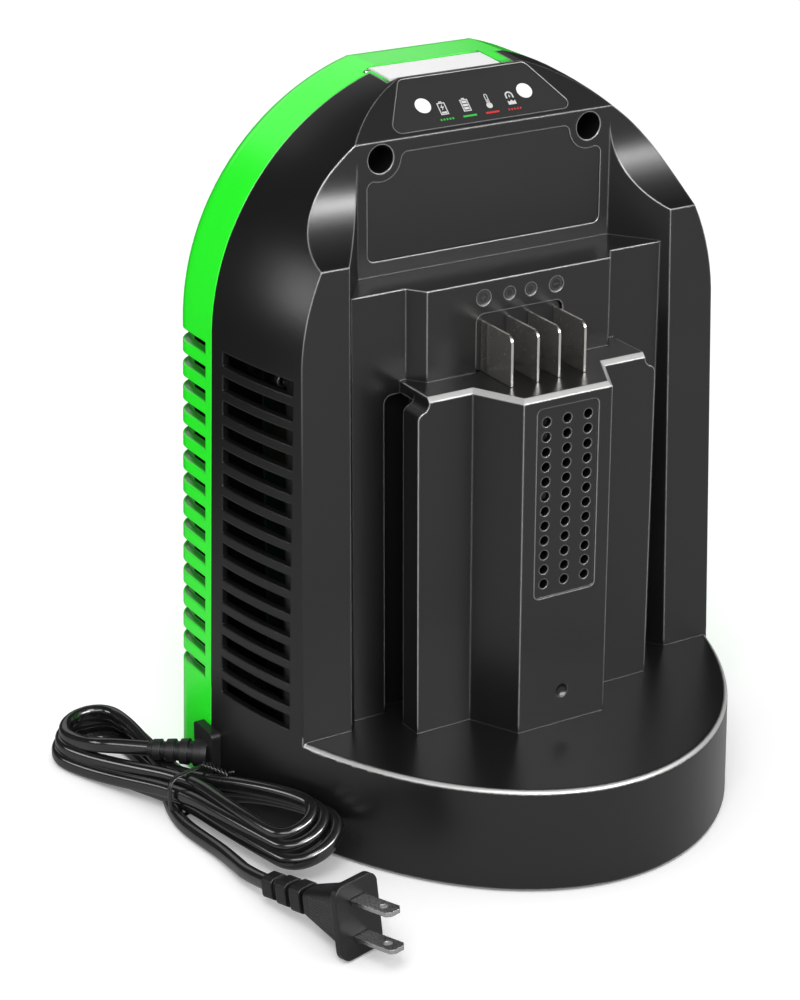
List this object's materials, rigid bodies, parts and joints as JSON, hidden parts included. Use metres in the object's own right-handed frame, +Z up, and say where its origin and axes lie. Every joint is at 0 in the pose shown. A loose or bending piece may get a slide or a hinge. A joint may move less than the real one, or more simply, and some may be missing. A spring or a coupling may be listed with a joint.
{
  "type": "power tool battery charger",
  "caption": "Tower charger for a slide-on power tool battery: black front with dock and contacts, green rear shell with louvres, flap over USB sockets, cooling fan, mains cord in a hank.",
  "frame": {"origin": "centre of the housing's bounding box at its base, on the table; the mains cord and plug are left out of it", "axes": "+Z up, +X to the viewer's right, the battery dock and contacts face -Y"},
  "size_m": [0.2298, 0.1977, 0.252],
  "materials": {
    "black_housing": "satin black, fine moulded grain",
    "green_housing": "bright green, semi-gloss",
    "rubber_black": "matte",
    "steel_screw": "zinc plated",
    "dark_label": "flat dark grey, bare",
    "white_lens": "translucent white",
    "white_cover": "white, semi-gloss",
    "plated_contact": "nickel plated",
    "plated_blade": "nickel plated, satin",
    "circuit_board": "green solder mask",
    "ferrite": "dark grey ceramic",
    "winding_tape": "yellow tape",
    "capacitor_sleeve": "black sleeve",
    "aluminium_sink": "extruded, plain",
    "black_resin": "matte",
    "copper_winding": "enamelled wire",
    "glass_fuse": "clear glass with metal caps",
    "black_cord": "glossy black sheath",
    "black_plug": "matte moulded"
  },
  "bodies": {
    "charger": {"front_housing": "black_housing", "rear_housing": "green_housing", "base_plate": "black_housing", "rubber_feet": "rubber_black", "base_screws": "steel_screw", "upper_screws": "steel_screw", "side_screws": "steel_screw", "board_screws": "steel_screw", "fan_screws": "steel_screw", "clamp_screws": "steel_screw", "cord_clamp": "black_housing", "label_plate": "dark_label", "indicator_overlay": "dark_label", "indicator_lens_left": "white_lens", "indicator_lens_right": "white_lens", "indicator_board": "circuit_board", "indicator_leds": "white_lens", "port_cover_pin": "steel_screw", "port_bezel": "black_housing", "usb_a_socket": "plated_contact", "usb_c_socket": "plated_contact", "port_board": "circuit_board", "contact_holder": "black_housing", "contact_positive": "plated_contact", "contact_data_left": "plated_contact", "contact_data_right": "plated_contact", "contact_negative": "plated_contact", "main_board": "circuit_board", "transformer_core": "ferrite", "transformer_winding": "winding_tape", "bulk_capacitors": "capacitor_sleeve", "heat_sink": "aluminium_sink", "power_transistors": "black_resin", "choke": "copper_winding", "fuse": "glass_fuse", "mains_connector": "white_cover", "fan_frame": "black_resin", "strain_relief": "black_cord", "cord_tail": "black_cord", "cord_lead": "black_cord", "cord_hank": "black_cord", "twist_tie": "black_cord", "plug_lead": "black_cord", "plug_body": "black_plug", "plug_blades": "plated_blade"},
    "cover": {"port_cover": "white_cover"},
    "rotor": {"fan_rotor": "black_resin"}
  },
  "joints": [
    {"name": "cover_hinge", "type": "hinge", "parent": "charger", "child": "cover", "pos_m": [-0.0053, 0.0504, 0.2505], "axis": [-1, 0, 0], "range_deg": [0, 100]},
    {"name": "fan_spin", "type": "hinge", "parent": "charger", "child": "rotor", "pos_m": [0, 0.025, 0.105], "axis": [0, 1, 0], "continuous": true}
  ]
}
